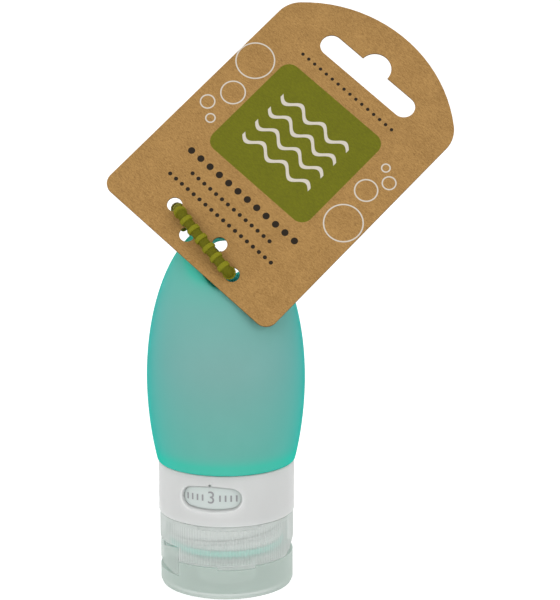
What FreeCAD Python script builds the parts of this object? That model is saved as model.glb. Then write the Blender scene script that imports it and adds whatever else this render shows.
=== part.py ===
"""Squeezable travel bottle standing on its flip-top cap, with a card tag tied through its hang hole.

Millimetres. +Z is up, the origin is the centre of the lid's flat face on the table, and the front
of the bottle looks along -Y.
"""
import FreeCAD, Part
import math
import os
import Sketcher
from FreeCAD import Placement, Rotation, Vector

# Driving dimensions, one spreadsheet cell each (lengths in mm, angles in degrees).
SIZES = {
    # flip lid
    "lid_inset": 0.1, "lid_wall": 1.2, "lid_plate": 1.3, "lid_height": 8.0, "lid_edge_round": 1.2,
    "plug_gap": 0.4, "plug_wall": 0.8, "plug_entry": 0.7, "guard_gap": 0.5, "guard_wall": 0.6,
    "guard_height": 5.0, "step_drop": 0.6, "step_angle": 34.0, "parting_gap": 0.3,
    # cap base
    "base_radius": 15.95, "base_wall": 1.35, "base_height": 9.7, "deck_thickness": 1.4,
    "spout_radius": 6.1, "spout_drop": 3.7, "spout_end": 1.2, "orifice_radius": 3.4, "spout_wall": 0.9,
    "knurl_count": 140, "knurl_width": 0.44, "knurl_depth": 0.18, "knurl_foot": 0.4, "knurl_head": 0.9,
    "relief_depth": 0.35, "relief_height": 0.9, "relief_angle": 55.0, "relief_start_angle": -124.0,
    "scoop_half_width": 9.7, "scoop_height": 3.7, "scoop_depth": 0.7, "cap_clock_angle": 10.0,
    # butterfly hinge
    "bow_half_width": 8.6, "bow_height": 6.6, "bow_waist": 1.4, "bow_thickness": 0.75, "bow_gap": 0.3,
    "hinge_offset": 0.15, "film_groove": 0.35,
    # valve and its retainer
    "valve_gap": 0.1, "valve_thickness": 1.0, "valve_dish": 0.5, "valve_skin": 0.5, "valve_seat_width": 1.5,
    "slit_length": 4.4, "slit_width": 0.2,
    "retainer_height": 2.4, "retainer_wall": 1.2, "retainer_gap": 0.05,
    # silicone body
    "lip_gap": 0.2, "lip_thickness": 1.4, "lip_room": 1.0, "neck_wall": 1.5,
    "belly_swell": 2.8, "belly_rise": 19.95, "dome_height": 37.9, "flank_radius": 86.0, "body_wall": 2.0,
    "shoulder_wall": 1.6, "funnel_rise": 2.6, "body_edge_round": 1.2, "tip_half_thickness": 3.0,
    "tip_wall": 4.0, "nose_wall": 1.8, "hang_radius": 4.7, "hang_depth": 9.9, "hang_ring": 2.9,
    "hang_edge_round": 0.7,
    # white collar, label ring and window band
    "collar_gap": 0.1, "collar_wall": 1.9, "thread_room": 1.4, "flange_thickness": 1.1, "bead_room": 0.3,
    "bead_hold": 0.3, "bead_height": 0.5, "bead_gap": 0.2, "label_seat": 0.3, "label_gap": 0.3,
    "label_wall": 1.2, "label_lift": 1.0, "band_wall": 1.2, "band_height": 12.1, "band_gap": 0.2,
    "band_lip": 0.7, "band_edge": 0.35, "window_half_width": 7.5, "window_height": 6.0, "window_rise": 6.6,
    "window_angle": -12.5, "index_radius": 0.6, "body_gap": 0.15,
    # card tag
    "tag_width": 52.8, "tag_height": 73.9, "tag_top_radius": 48.0, "tag_shoulder": 6.0, "tag_corner": 3.0,
    "card_thickness": 0.5, "card_gap": 0.3, "slot_width": 29.0, "slot_height": 5.2, "dome_radius": 5.0,
    "slot_drop": 11.6, "hole_radius": 1.8, "hole_pitch": 7.21, "hole_shift": 0.8, "hole_low": 4.15,
    "hole_high": 7.55, "tag_lean_angle": 30.0, "tag_turn_angle": -43.1,
    # ribbed tie
    "tie_core": 1.22, "tie_rib": 1.55, "rib_width": 1.1, "rib_pitch": 2.9, "tie_side": 1.74,
    "tie_drop": 1.8, "tie_seat": 0.3, "tight_bend": 2.5, "front_bend": 3.0, "back_bend": 4.0,
    "bend_shift": 0.45, "back_rest_angle": 45.0, "tie_head": 4.6, "head_width": 4.4, "head_depth": 7.4,
    "head_edge": 0.8, "tail_step": 3.5, "tail_length": 7.0,
    # cuts run this far past the faces they open
    "overrun": 2.0,
}

# Heights of the dome's cross-sections, as shares of the quarter turn from the belly to the tip.
STATION_SHARES = (0.0, 0.05, 0.2, 0.37, 0.53, 0.69, 0.83, 0.93)
# The cavity needs only some of them.
CAVITY_SHARES = (0.0, 0.2, 0.53, 0.83)
NOSE_POWER = 12
# A small round edge is two flats that meet on the round's own arc, this share of its radius in.
ARC_SHARE = 1 - math.sqrt(0.5)
# Rows up the dome's front where the leaning card is kept clear of it.
LEAN_ROW_COUNT = 40
TIE_HOLE_COUNT = 4

doc = FreeCAD.newDocument("travel_bottle")
sheet = doc.addObject("Spreadsheet::Sheet", "Sizes")
for row, (alias, number) in enumerate(SIZES.items(), start=1):
    sheet.set("A%d" % row, alias)
    sheet.set("B%d" % row, str(number))
    sheet.setAlias("B%d" % row, alias)
doc.recompute()


class Dim:
    """A size that knows its value and the spreadsheet expression that gives it."""

    def __init__(self, value, text):
        self.value = value
        self.text = text

    def join(self, other, sign, value):
        text = other.text if isinstance(other, Dim) else str(other)
        return Dim(value, "(%s %s %s)" % (self.text, sign, text))

    def __add__(self, other):
        return self.join(other, "+", self.value + plain(other))

    def __sub__(self, other):
        return self.join(other, "-", self.value - plain(other))

    def __mul__(self, other):
        return self.join(other, "*", self.value * plain(other))

    def __truediv__(self, other):
        return self.join(other, "/", self.value / plain(other))

    def __neg__(self):
        return Dim(-self.value, "(0 - %s)" % self.text)

    def squared(self):
        return self * self


def plain(number):
    return number.value if isinstance(number, Dim) else number


def root(amount):
    return Dim(math.sqrt(amount.value), "sqrt(%s)" % amount.text)


def double_arcsine(ratio):
    """Angle in degrees that spans twice the arc sine of a ratio."""
    return Dim(2 * math.degrees(math.asin(ratio.value)), "2 * asin(%s)" % ratio.text)


def number(alias):
    return float(sheet.get(alias))


def size(alias):
    return Dim(number(alias), "Sizes.%s" % alias)


ZERO = Dim(0.0, "0")
FULL_TURN = Dim(360.0, "360")
overrun = size("overrun")


def bind(thing, path, amount):
    thing.setExpression(path, amount.text)


def new_body(name):
    return doc.addObject("PartDesign::Body", name)


def origin_feature(body, role):
    return [item for item in body.Origin.OriginFeatures if item.Role == role][0]


def new_sketch(body, name, plane, offset=ZERO, azimuth=0.0):
    """A sketch on an origin plane, moved along its normal and turned about its own upright axis."""
    sketch = body.newObject("Sketcher::SketchObject", name)
    sketch.AttachmentSupport = [(origin_feature(body, plane), "")]
    sketch.MapMode = "FlatFace"
    sketch.AttachmentOffset = Placement(Vector(0, 0, offset.value), Rotation(Vector(0, 1, 0), azimuth))
    if offset is not ZERO:
        bind(sketch, "AttachmentOffset.Base.z", offset)
    return sketch


def pin_point(sketch, edge, end, x, y):
    """Fix one end of an edge at named distances from the sketch's origin."""
    for kind, amount, axis in (("DistanceX", x, -2), ("DistanceY", y, -1)):
        if amount.value == 0:
            sketch.addConstraint(Sketcher.Constraint("PointOnObject", edge, end, axis))
        elif amount.value > 0:
            item = sketch.addConstraint(Sketcher.Constraint(kind, -1, 1, edge, end, amount.value))
            bind(sketch, "Constraints[%d]" % item, amount)
        else:
            item = sketch.addConstraint(Sketcher.Constraint(kind, edge, end, -1, 1, -amount.value))
            bind(sketch, "Constraints[%d]" % item, -amount)


def arc_between(start, end, radius):
    """Arc of under a half circle: a positive radius has its centre to the left of start to end."""
    chord = end - start
    left = Vector(-chord.y, chord.x, 0).normalize()
    rise = math.sqrt(radius ** 2 - (chord.Length / 2) ** 2)
    centre = (start + end) / 2 + left * math.copysign(rise, radius)
    first, last = (start, end) if radius > 0 else (end, start)
    angles = [math.atan2(point.y - centre.y, point.x - centre.x) for point in (first, last)]
    return Part.ArcOfCircle(Part.Circle(centre, Vector(0, 0, 1), abs(radius)), angles[0], angles[1])


def draw_outline(sketch, corners):
    """Closed outline through named corners; a third entry is the radius of the arc to the next corner."""
    ends = []
    for index, corner in enumerate(corners):
        after = corners[(index + 1) % len(corners)]
        start = Vector(corner[0].value, corner[1].value, 0)
        end = Vector(after[0].value, after[1].value, 0)
        if len(corner) == 3:
            edge = sketch.addGeometry(arc_between(start, end, corner[2].value))
            ends.append((edge, 1, 2) if corner[2].value > 0 else (edge, 2, 1))
        else:
            edge = sketch.addGeometry(Part.LineSegment(start, end))
            ends.append((edge, 1, 2))
    for index, (edge, head, tail) in enumerate(ends):
        after = ends[(index + 1) % len(ends)]
        sketch.addConstraint(Sketcher.Constraint("Coincident", edge, tail, after[0], after[1]))
        pin_point(sketch, edge, head, corners[index][0], corners[index][1])
        if len(corners[index]) == 3:
            radius = corners[index][2]
            radius = radius if radius.value > 0 else -radius
            item = sketch.addConstraint(Sketcher.Constraint("Radius", edge, radius.value))
            bind(sketch, "Constraints[%d]" % item, radius)


def draw_circle(sketch, x, y, radius):
    edge = sketch.addGeometry(Part.Circle(Vector(x.value, y.value, 0), Vector(0, 0, 1), radius.value))
    pin_point(sketch, edge, 3, x, y)
    item = sketch.addConstraint(Sketcher.Constraint("Radius", edge, radius.value))
    bind(sketch, "Constraints[%d]" % item, radius)


def revolve(body, name, corners):
    """Full turn of a half profile, given as (radius, height) corners."""
    sketch = new_sketch(body, name + "_profile", "XZ_Plane")
    draw_outline(sketch, corners)
    feature = body.newObject("PartDesign::Revolution", name)
    feature.Profile = sketch
    feature.ReferenceAxis = (sketch, ["V_Axis"])
    feature.Angle = 360
    return feature


def sector_cut(body, name, corners, start=0.0, angle=FULL_TURN):
    """Cut a half profile out of a body over an angle, counted anticlockwise from +X seen from above."""
    sketch = new_sketch(body, name + "_profile", "XZ_Plane", azimuth=start)
    draw_outline(sketch, corners)
    feature = body.newObject("PartDesign::Groove", name)
    feature.Profile = sketch
    feature.ReferenceAxis = (sketch, ["V_Axis"])
    bind(feature, "Angle", angle)
    return feature


def pocket(body, name, sketch, depth, reverse):
    feature = body.newObject("PartDesign::Pocket", name)
    feature.Profile = sketch
    feature.Reversed = reverse
    bind(feature, "Length", depth)
    return feature


def cut(name, base, tool):
    result = doc.addObject("Part::Cut", name)
    result.Base = base
    result.Tool = tool
    return result


def box_corners(left, low, right, high):
    return [(left, low), (right, low), (right, high), (left, high)]


def set_label(thing, label, turn=None):
    """Name a finished sub-part and turn it about the bottle's axis."""
    thing.Label = label
    if turn is not None:
        thing.Placement = Placement(Vector(0, 0, 0), Rotation(Vector(0, 0, 1), turn.value))
    return thing


# Heights and radii that several pieces share.
base_low = size("lid_height") + size("parting_gap")
base_high = base_low + size("base_height")
deck_high = base_low + size("deck_thickness")
spout_low = base_low - size("spout_drop")
base_bore = size("base_radius") - size("base_wall")
lid_radius = size("base_radius") - size("lid_inset")
belly_radius = size("base_radius") + size("belly_swell")
pocket_radius = size("spout_radius") - size("spout_wall")
collar_radius = base_bore - size("thread_room")
bead_radius = base_bore - size("bead_room")
neck_radius = collar_radius - size("collar_wall") - size("collar_gap")
neck_bore = neck_radius - size("neck_wall")
label_radius = collar_radius + size("label_seat") + size("label_wall")
band_bore = label_radius + size("label_gap")
lip_low = deck_high + size("lip_gap")
lip_high = lip_low + size("lip_thickness")
band_low = base_high + size("band_gap")
band_high = band_low + size("band_height")
body_low = band_high + size("body_gap")
belly_high = body_low + size("belly_rise")
tip_high = belly_high + size("dome_height")
hang_high = tip_high - size("hang_depth")
cap_clock = size("cap_clock_angle")
bow_inside = lid_radius - size("bow_thickness")
bow_angle = double_arcsine((size("bow_half_width") + size("bow_gap")) / bow_inside)
bow_start = 180 - bow_angle.value / 2
bow_low = base_low - size("parting_gap") / 2 - size("bow_height") / 2
bow_high = bow_low + size("bow_height")
valve_low = spout_low + size("spout_end") + size("valve_gap")
valve_high = valve_low + size("valve_thickness")


def flip_lid():
    """Shallow round lid with a plug ring for the spout, a guard ring and a flat standing face."""
    height, rounding = size("lid_height"), size("lid_edge_round")
    plate, bore = size("lid_plate"), lid_radius - size("lid_wall")
    plug = size("orifice_radius") - size("plug_gap")
    plug_in, plug_high = plug - size("plug_wall"), spout_low + size("plug_entry")
    guard_in = size("spout_radius") + size("guard_gap")
    guard, guard_high = guard_in + size("guard_wall"), plate + size("guard_height")
    body = new_body("lid_body")
    revolve(body, "lid_shell", [
        (ZERO, ZERO), (lid_radius - rounding, ZERO),
        (lid_radius - rounding * ARC_SHARE, rounding * ARC_SHARE), (lid_radius, rounding),
        (lid_radius, height), (bore, height), (bore, plate), (guard, plate), (guard, guard_high),
        (guard_in, guard_high),
        (guard_in, plate), (plug, plate), (plug, plug_high), (plug_in, plug_high), (plug_in, plate),
        (ZERO, plate)])
    step_start = -90 - number("step_angle") / 2
    sector_cut(body, "rim_step", box_corners(bore - overrun, height - size("step_drop"),
                                             lid_radius + overrun, height + overrun),
               step_start, size("step_angle"))
    sector_cut(body, "bow_window", box_corners(bore, bow_low - size("bow_gap"), lid_radius + overrun,
                                               height + overrun), bow_start, bow_angle)
    return set_label(body, "flip_lid", cap_clock)


def cap_base():
    """Screw-cap skirt with a deck, a spout that holds the valve, fine grip flutes and a thumb scoop."""
    radius, bore = size("base_radius"), base_bore
    body = new_body("base_body")
    revolve(body, "base_shell", [
        (size("orifice_radius"), spout_low), (size("spout_radius"), spout_low),
        (size("spout_radius"), base_low), (radius, base_low), (radius, base_high), (bore, base_high),
        (bore, deck_high),
        (pocket_radius, deck_high), (pocket_radius, spout_low + size("spout_end")),
        (size("orifice_radius"), spout_low + size("spout_end"))])
    relief_low = base_high - size("relief_height")
    sector_cut(body, "rim_relief", box_corners(radius - size("relief_depth"), relief_low,
                                               radius + overrun, base_high + overrun),
               number("relief_start_angle"), size("relief_angle"))
    sector_cut(body, "bow_window", box_corners(bore, base_low - overrun, radius + overrun,
                                               bow_high + size("bow_gap")), bow_start, bow_angle)
    flute_low = base_low + size("knurl_foot")
    flute_length = size("base_height") - size("knurl_foot") - size("knurl_head")
    sketch = new_sketch(body, "flute_section", "XY_Plane", offset=flute_low)
    tip, mouth = radius - size("knurl_depth"), radius + size("knurl_depth")
    draw_outline(sketch, [(tip, ZERO), (mouth, -size("knurl_width")), (mouth, size("knurl_width"))])
    flute = pocket(body, "flute", sketch, flute_length, True)
    doc.recompute()
    pattern = body.newObject("PartDesign::PolarPattern", "flutes")
    pattern.Originals = [flute]
    pattern.Axis = (origin_feature(body, "Z_Axis"), [""])
    pattern.Angle = 360
    bind(pattern, "Occurrences", size("knurl_count"))
    body.Tip = pattern
    # The thumb scoop is a half-moon, sunk evenly into the round skirt opposite the hinge.
    half, rise = size("scoop_half_width"), size("scoop_height")
    moon_radius = (half.squared() + rise.squared()) / (rise * 2)
    moon = doc.addObject("Part::Cylinder", "scoop_moon")
    bind(moon, "Radius", moon_radius)
    bind(moon, "Height", radius + overrun)
    moon.Placement = Placement(Vector(0, 0, 0), Rotation(Vector(0, 1, 0), 90))
    bind(moon, "Placement.Base.z", base_low + rise - moon_radius)
    floor = doc.addObject("Part::Cylinder", "scoop_floor")
    bind(floor, "Radius", radius - size("scoop_depth"))
    bind(floor, "Height", base_high + overrun)
    base = cut("base_with_scoop", body, cut("scoop", moon, floor))
    return set_label(base, "cap_base", cap_clock)


def butterfly_hinge():
    """Bow-tie strap across the parting line: two wings that narrow to a thin film at the waist."""
    outer = lid_radius
    half, end, waist = size("bow_half_width"), size("bow_height") / 2, size("bow_waist") / 2
    middle = base_low - size("parting_gap") / 2
    body = new_body("bow_body")
    sketch = new_sketch(body, "bow_outline", "YZ_Plane")
    draw_outline(sketch, [
        (-half, middle - end), (ZERO, middle - waist), (half, middle - end),
        (half, middle + end), (ZERO, middle + waist), (-half, middle + end)])
    plate = body.newObject("PartDesign::Pad", "bow_plate")
    plate.Profile = sketch
    plate.Reversed = True
    bind(plate, "Length", outer + overrun)
    # Both faces follow the round cap, and a round groove along the fold thins the film.
    sector_cut(body, "bow_inner_face", box_corners(ZERO, bow_low - overrun, bow_inside, bow_high + overrun))
    sector_cut(body, "bow_outer_face", box_corners(outer, bow_low - overrun, outer + half + overrun,
                                                   bow_high + overrun))
    groove = new_sketch(body, "film_outline", "XZ_Plane", offset=-half)
    draw_circle(groove, -(outer + size("hinge_offset")), middle, size("film_groove"))
    pocket(body, "film_fold", groove, half * 2, True)
    return set_label(body, "butterfly_hinge", cap_clock)


def drip_valve():
    """Soft disc that seats in the spout, dished to a thin middle that opens under pressure."""
    radius = pocket_radius - size("valve_gap")
    dish = radius - size("valve_seat_width")
    body = new_body("valve_body")
    revolve(body, "valve_disc", [
        (ZERO, valve_low + size("valve_dish")), (dish - size("valve_dish"), valve_low + size("valve_dish")),
        (dish, valve_low), (radius, valve_low), (radius, valve_high), (dish, valve_high),
        (dish - size("valve_dish"), valve_low + size("valve_dish") + size("valve_skin")),
        (ZERO, valve_low + size("valve_dish") + size("valve_skin"))])
    long, thin = size("slit_length") / 2, size("slit_width") / 2
    sketch = new_sketch(body, "slit_outline", "XY_Plane", offset=valve_low)
    draw_outline(sketch, [
        (-long, -thin), (-thin, -thin), (-thin, -long), (thin, -long), (thin, -thin), (long, -thin),
        (long, thin), (thin, thin), (thin, long), (-thin, long), (-thin, thin), (-long, thin)])
    pocket(body, "cross_slit", sketch, size("valve_thickness"), True)
    return set_label(body, "drip_valve", cap_clock)


def valve_retainer():
    """Plain ring pushed into the spout behind the valve."""
    radius = pocket_radius - size("retainer_gap")
    low = valve_high + size("valve_gap")
    body = new_body("retainer_body")
    revolve(body, "retainer_ring", box_corners(radius - size("retainer_wall"), low, radius,
                                               low + size("retainer_height")))
    return set_label(body, "valve_retainer")


def neck_collar():
    """White rigid sleeve round the soft neck: thread stub below, a snap bead and a top flange."""
    bore, tube, bead = neck_radius + size("collar_gap"), collar_radius, bead_radius
    low = lip_high + size("collar_gap")
    bead_high = band_low - size("bead_gap")
    bead_low = bead_high - size("bead_height")
    body = new_body("collar_body")
    revolve(body, "collar_sleeve", [
        (bore, low), (tube, low), (tube, bead_low - (bead - tube)), (bead, bead_low), (bead, bead_high),
        (tube, bead_high), (tube, band_high - size("flange_thickness")),
        (label_radius, band_high - size("flange_thickness")), (label_radius, band_high), (bore, band_high)])
    return set_label(body, "neck_collar")


def label_ring():
    """Printed ring behind the window, seated on the collar between its flange and the band's lip."""
    inner = collar_radius + size("label_seat")
    body = new_body("label_body")
    revolve(body, "label_band", box_corners(inner, band_low + size("label_lift"), label_radius,
                                            band_high - size("flange_thickness") - size("collar_gap")))
    return set_label(body, "label_ring")


def window_band():
    """White band that turns round the label ring, with a long round-ended window and an index notch."""
    radius, bore, edge = band_bore + size("band_wall"), band_bore, size("band_edge")
    lip = bead_radius - size("bead_hold")
    body = new_body("band_body")
    revolve(body, "band_ring", [
        (lip, band_low), (radius - edge, band_low), (radius, band_low + edge), (radius, band_high - edge),
        (radius - edge, band_high), (bore, band_high), (bore, band_low + size("band_lip")),
        (lip, band_low + size("band_lip"))])
    half, end = size("window_half_width"), size("window_height") / 2
    middle = band_low + size("window_rise")
    sketch = new_sketch(body, "window_outline", "XZ_Plane")
    straight = half - end
    draw_outline(sketch, [
        (-straight, middle - end), (straight, middle - end, end), (half, middle, end),
        (straight, middle + end), (-straight, middle + end, end), (-half, middle, end)])
    pocket(body, "window", sketch, radius + overrun, True)
    notch = new_sketch(body, "index_outline", "XZ_Plane")
    draw_circle(notch, ZERO, middle + end, size("index_radius"))
    pocket(body, "index_notch", notch, radius + overrun, True)
    return set_label(body, "window_band", size("window_angle"))


def dome_half_depth(share, radius, nose):
    """Outline seen from the side: round at the belly, drawn in to a blunt wedge at the tip."""
    return (radius - nose) * (1 - share ** 2) ** 2 + nose * math.sqrt(1 - share ** NOSE_POWER)


def dome_loft(name, radius, height, nose, stations):
    """Loft from the round belly to the flattened tip through ellipses that follow the two outlines."""
    sections = []
    for station in stations:
        share = math.sin(station * math.pi / 2)
        ellipse = doc.addObject("Part::Ellipse", name + "_section")
        bind(ellipse, "MajorRadius", radius * math.sqrt(1 - share ** 2))
        bind(ellipse, "MinorRadius", dome_half_depth(share, radius, nose))
        bind(ellipse, "Placement.Base.z", belly_high + height * share)
        sections.append(ellipse)
    tip = doc.addObject("Part::Vertex", name + "_tip")
    bind(tip, "Z", belly_high + height)
    sections.append(tip)
    loft = doc.addObject("Part::Loft", name)
    loft.Sections = sections
    loft.Solid = True
    return loft


def silicone_body():
    """Soft bottle: lip and neck inside the collar, full belly, and a flattened tip with a hang hole."""
    belly, wall, flank = belly_radius, size("body_wall"), size("flank_radius")
    floor_low = body_low + size("shoulder_wall")
    floor_high = floor_low + size("funnel_rise")

    def flank_at(height, radius):
        drop = belly_high - height
        return belly - flank + root(radius.squared() - drop.squared())

    lower = new_body("body_lower")
    lip, edge = base_bore - size("lip_room"), size("body_edge_round")
    shoulder = flank_at(body_low + edge, flank)
    inner = flank - wall
    revolve(lower, "lower_shell", [
        (neck_bore, lip_low), (lip, lip_low), (lip, lip_high), (neck_radius, lip_high),
        (neck_radius, body_low), (shoulder - edge, body_low),
        (shoulder - edge * ARC_SHARE, body_low + edge * ARC_SHARE),
        (shoulder, body_low + edge, flank), (belly, belly_high), (belly - wall, belly_high, -inner),
        (flank_at(floor_high, inner), floor_high), (neck_bore, floor_low)])
    outer = dome_loft("dome", belly, size("dome_height"), size("tip_half_thickness"), STATION_SHARES)
    cavity = dome_loft("cavity", belly - wall, size("dome_height") - size("tip_wall"),
                       size("tip_half_thickness") - size("nose_wall"), CAVITY_SHARES)
    reach = belly + overrun
    cylinders = []
    for name, radius in (("hang_tunnel", size("hang_radius") + size("hang_ring")),
                         ("hang_hole", size("hang_radius"))):
        cylinder = doc.addObject("Part::Cylinder", name)
        bind(cylinder, "Radius", radius)
        bind(cylinder, "Height", reach * 2)
        cylinder.Placement = Placement(Vector(0, 0, 0), Rotation(Vector(1, 0, 0), 90))
        bind(cylinder, "Placement.Base.y", reach)
        bind(cylinder, "Placement.Base.z", hang_high)
        cylinders.append(cylinder)
    hollow = cut("hollow", cavity, cylinders[0])
    shell = cut("dome_shell", outer, hollow)
    pierced = cut("dome_pierced", shell, cylinders[1])
    whole = doc.addObject("Part::Fuse", "body_whole")
    whole.Base = lower
    whole.Tool = pierced
    whole.Refine = True
    doc.recompute()
    rims = doc.addObject("Part::Chamfer", "eased_rims")
    rims.Base = whole
    rounding, hole = number("hang_edge_round"), number("hang_radius")
    picked = []
    for index, item in enumerate(whole.Shape.Edges, start=1):
        box = item.BoundBox
        beside = max(hang_high.value - box.ZMin, box.ZMax - hang_high.value) < hole + rounding
        if beside and box.XLength > hole:
            picked.append((index, rounding, rounding))
    rims.Edges = picked
    return set_label(rims, "silicone_body")


def hole_place(index):
    """Centre of one of the tie holes, across and up the card from the middle of its foot."""
    across = size("hole_shift") + size("hole_pitch") * (index - (TIE_HOLE_COUNT - 1) / 2)
    return across, size("hole_low") if index % 2 else size("hole_high")


def tag_frame():
    """Placement of the card: it leans on the tip and its last hole lies before the hang hole."""
    lean = math.radians(number("tag_lean_angle"))
    upright = Rotation(Vector(1, 0, 0), 90 - number("tag_lean_angle"))
    rotation = upright.multiply(Rotation(Vector(0, 0, 1), number("tag_turn_angle")))
    front = []
    for row in range(LEAN_ROW_COUNT + 1):
        share = row / LEAN_ROW_COUNT
        depth = dome_half_depth(share, belly_radius.value, number("tip_half_thickness"))
        level = belly_high.value + share * number("dome_height") - hang_high.value
        front.append(-depth - level * math.tan(lean))
    clear = (number("card_gap") + number("card_thickness") / 2) / math.cos(lean)
    drop = -number("tie_drop")
    anchor = Vector(number("tie_side"), min(front) - clear + drop * math.tan(lean), hang_high.value + drop)
    across, up = hole_place(TIE_HOLE_COUNT - 1)
    return Placement(anchor - rotation.multVec(Vector(across.value, up.value, 0)), rotation)


def hang_tag():
    """Card with a bowed top, a hanging slot with a round rise, and four holes for the tie."""
    half, high, bow = size("tag_width") / 2, size("tag_height"), size("tag_top_radius")
    corner, shoulder = size("tag_corner"), size("tag_shoulder")
    bow_centre = high - bow
    reach = bow - shoulder
    shoulder_x = half - shoulder
    shoulder_y = bow_centre + root(reach.squared() - shoulder_x.squared())
    touch = bow / reach
    touch_x, touch_y = shoulder_x * touch, bow_centre + (shoulder_y - bow_centre) * touch
    body = new_body("tag_body")
    sketch = new_sketch(body, "card_outline", "XY_Plane", offset=-(size("card_thickness") / 2))
    draw_outline(sketch, [
        (-(half - corner), ZERO), (half - corner, ZERO, corner), (half, corner),
        (half, shoulder_y, shoulder), (touch_x, touch_y, bow), (-touch_x, touch_y, shoulder),
        (-half, shoulder_y), (-half, corner, corner)])
    card = body.newObject("PartDesign::Pad", "card")
    card.Profile = sketch
    bind(card, "Length", size("card_thickness"))
    end, slot_half, slot_y = size("slot_height") / 2, size("slot_width") / 2, high - size("slot_drop")
    straight = slot_half - end
    cuts = new_sketch(body, "slot_outline", "XY_Plane", offset=-size("card_thickness"))
    draw_outline(cuts, [
        (-straight, slot_y - end), (straight, slot_y - end, end), (slot_half, slot_y, end),
        (straight, slot_y + end), (-straight, slot_y + end, end), (-slot_half, slot_y, end)])
    for index in range(TIE_HOLE_COUNT):
        across, up = hole_place(index)
        draw_circle(cuts, across, up, size("hole_radius"))
    pocket(body, "slot_and_holes", cuts, size("card_thickness") * 2, True)
    rise = new_sketch(body, "rise_outline", "XY_Plane", offset=-size("card_thickness"))
    draw_circle(rise, ZERO, slot_y - end + size("dome_radius"), size("dome_radius"))
    pocket(body, "slot_rise_cut", rise, size("card_thickness") * 2, True)
    set_label(body, "hang_tag")
    body.Placement = tag_frame()
    return body


def round_corner(before, corner, after, radius):
    """Tangent arc that replaces a corner: start, middle, end and centre of the arc."""
    back, ahead = (before - corner).normalize(), (after - corner).normalize()
    half = back.getAngle(ahead) / 2
    start, end = corner + back * (radius / math.tan(half)), corner + ahead * (radius / math.tan(half))
    inward = (back + ahead).normalize()
    centre = corner + inward * (radius / math.sin(half))
    return start, centre - inward * radius, end, centre


def tie_corners(frame, stand_off):
    """Corners of the strap's loop: across the card's front, through its end holes, behind the ring."""
    ends = []
    for index in (0, TIE_HOLE_COUNT - 1):
        across, up = hole_place(index)
        ends.append(frame.multVec(Vector(across.value, up.value, 0)))
    rest = hang_high.value + number("hang_radius") * math.sin(math.radians(number("back_rest_angle")))
    rest_share = (rest - belly_high.value) / number("dome_height")
    depth = dome_half_depth(rest_share, belly_radius.value, number("tip_half_thickness"))
    back = depth + number("tie_seat") + number("tie_rib")
    ahead = Vector(0, stand_off / abs(frame.Rotation.multVec(Vector(0, 0, 1)).y), 0)
    first, last = ends[0] - ahead, ends[1] - ahead
    last += (last - first).normalize() * number("bend_shift")
    return [first, last, Vector(last.x, back, last.z), Vector(first.x, back, first.z)]


def tie_loop(corners, keep_clear):
    """Round strap along the loop, and the places of its ribs where keep_clear lets one stand."""
    bends = [number(name) for name in ("front_bend", "tight_bend", "back_bend", "back_bend")]
    count = len(corners)
    arcs = [round_corner(corners[index - 1], corner, corners[(index + 1) % count], bends[index])
            for index, corner in enumerate(corners)]
    pieces, ribs = [], []
    travelled, next_rib = 0.0, number("rib_pitch") / 2
    for index, (start, middle, end, centre) in enumerate(arcs):
        after = arcs[(index + 1) % count][0]
        for edge in (Part.Arc(start, middle, end).toShape(), Part.LineSegment(end, after).toShape()):
            direction = edge.tangentAt(edge.FirstParameter)
            ring = Part.makeCircle(number("tie_core"), edge.valueAt(edge.FirstParameter), direction)
            disc = Part.Face(Part.Wire(ring))
            if edge.Curve.TypeId == "Part::GeomCircle":
                spokes = start - centre, end - centre
                turn = math.degrees(spokes[0].getAngle(spokes[1]))
                pieces.append(disc.revolve(centre, spokes[0].cross(spokes[1]), turn))
            else:
                pieces.append(disc.extrude(after - end))
            while next_rib < travelled + edge.Length:
                place = edge.getParameterByLength(next_rib - travelled)
                if keep_clear(edge.valueAt(place)):
                    ribs.append((edge.valueAt(place), edge.tangentAt(place)))
                next_rib += number("rib_pitch")
            travelled += edge.Length
    return pieces, ribs


def tie_head(corners):
    """Bevelled head on the back run, past the ring's edge, and the strap's tail that comes out of it."""
    run = (corners[3] - corners[2]).normalize()
    upright = Vector(0, 1, 0)
    length, width = number("tie_head"), number("head_width")
    middle = corners[3] - run * (number("back_bend") + length / 2)
    block = Part.makeBox(length, width, number("head_depth"), Vector(-length / 2, -width / 2, -width / 2))
    block = block.makeChamfer(number("head_edge"), block.Edges)
    block.Placement = Placement(middle, Rotation(run, upright.cross(run), upright, "XYZ"))
    start = middle + upright * number("tail_step")
    reach = length / 2 + number("tail_length")
    tail = Part.makeCylinder(number("tie_core"), reach, start, -run)
    ribs = []
    along = length / 2 + number("rib_pitch") / 2
    while along < reach - number("rib_width"):
        ribs.append((start - run * along, -run))
        along += number("rib_pitch")
    return [block, tail], ribs


def tag_tie():
    """Ribbed strap that ties the card to the tip's ring."""
    frame = tag_frame()
    normal = frame.Rotation.multVec(Vector(0, 0, 1))
    stand_off = number("card_thickness") / 2 + number("tie_rib") + number("tie_seat") / 2
    corners = tie_corners(frame, stand_off)

    def keep_clear(point):
        return abs((point - frame.Base).dot(normal)) > stand_off - number("tie_seat")

    pieces, ribs = tie_loop(corners, keep_clear)
    head_pieces, tail_ribs = tie_head(corners)
    pieces += head_pieces
    width = number("rib_width")
    for point, direction in ribs + tail_ribs:
        foot = point - direction * (width / 2)
        pieces.append(Part.makeCylinder(number("tie_rib"), width, foot, direction))
    tie = doc.addObject("Part::Feature", "tie_strap")
    tie.Shape = pieces[0].multiFuse(pieces[1:]).removeSplitter()
    tie.Placement = Placement()
    return set_label(tie, "tag_tie")


parts = [flip_lid(), cap_base(), butterfly_hinge(), drip_valve(), valve_retainer(), neck_collar(),
         label_ring(), window_band(), silicone_body(), hang_tag(), tag_tie()]
doc.recompute()

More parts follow.
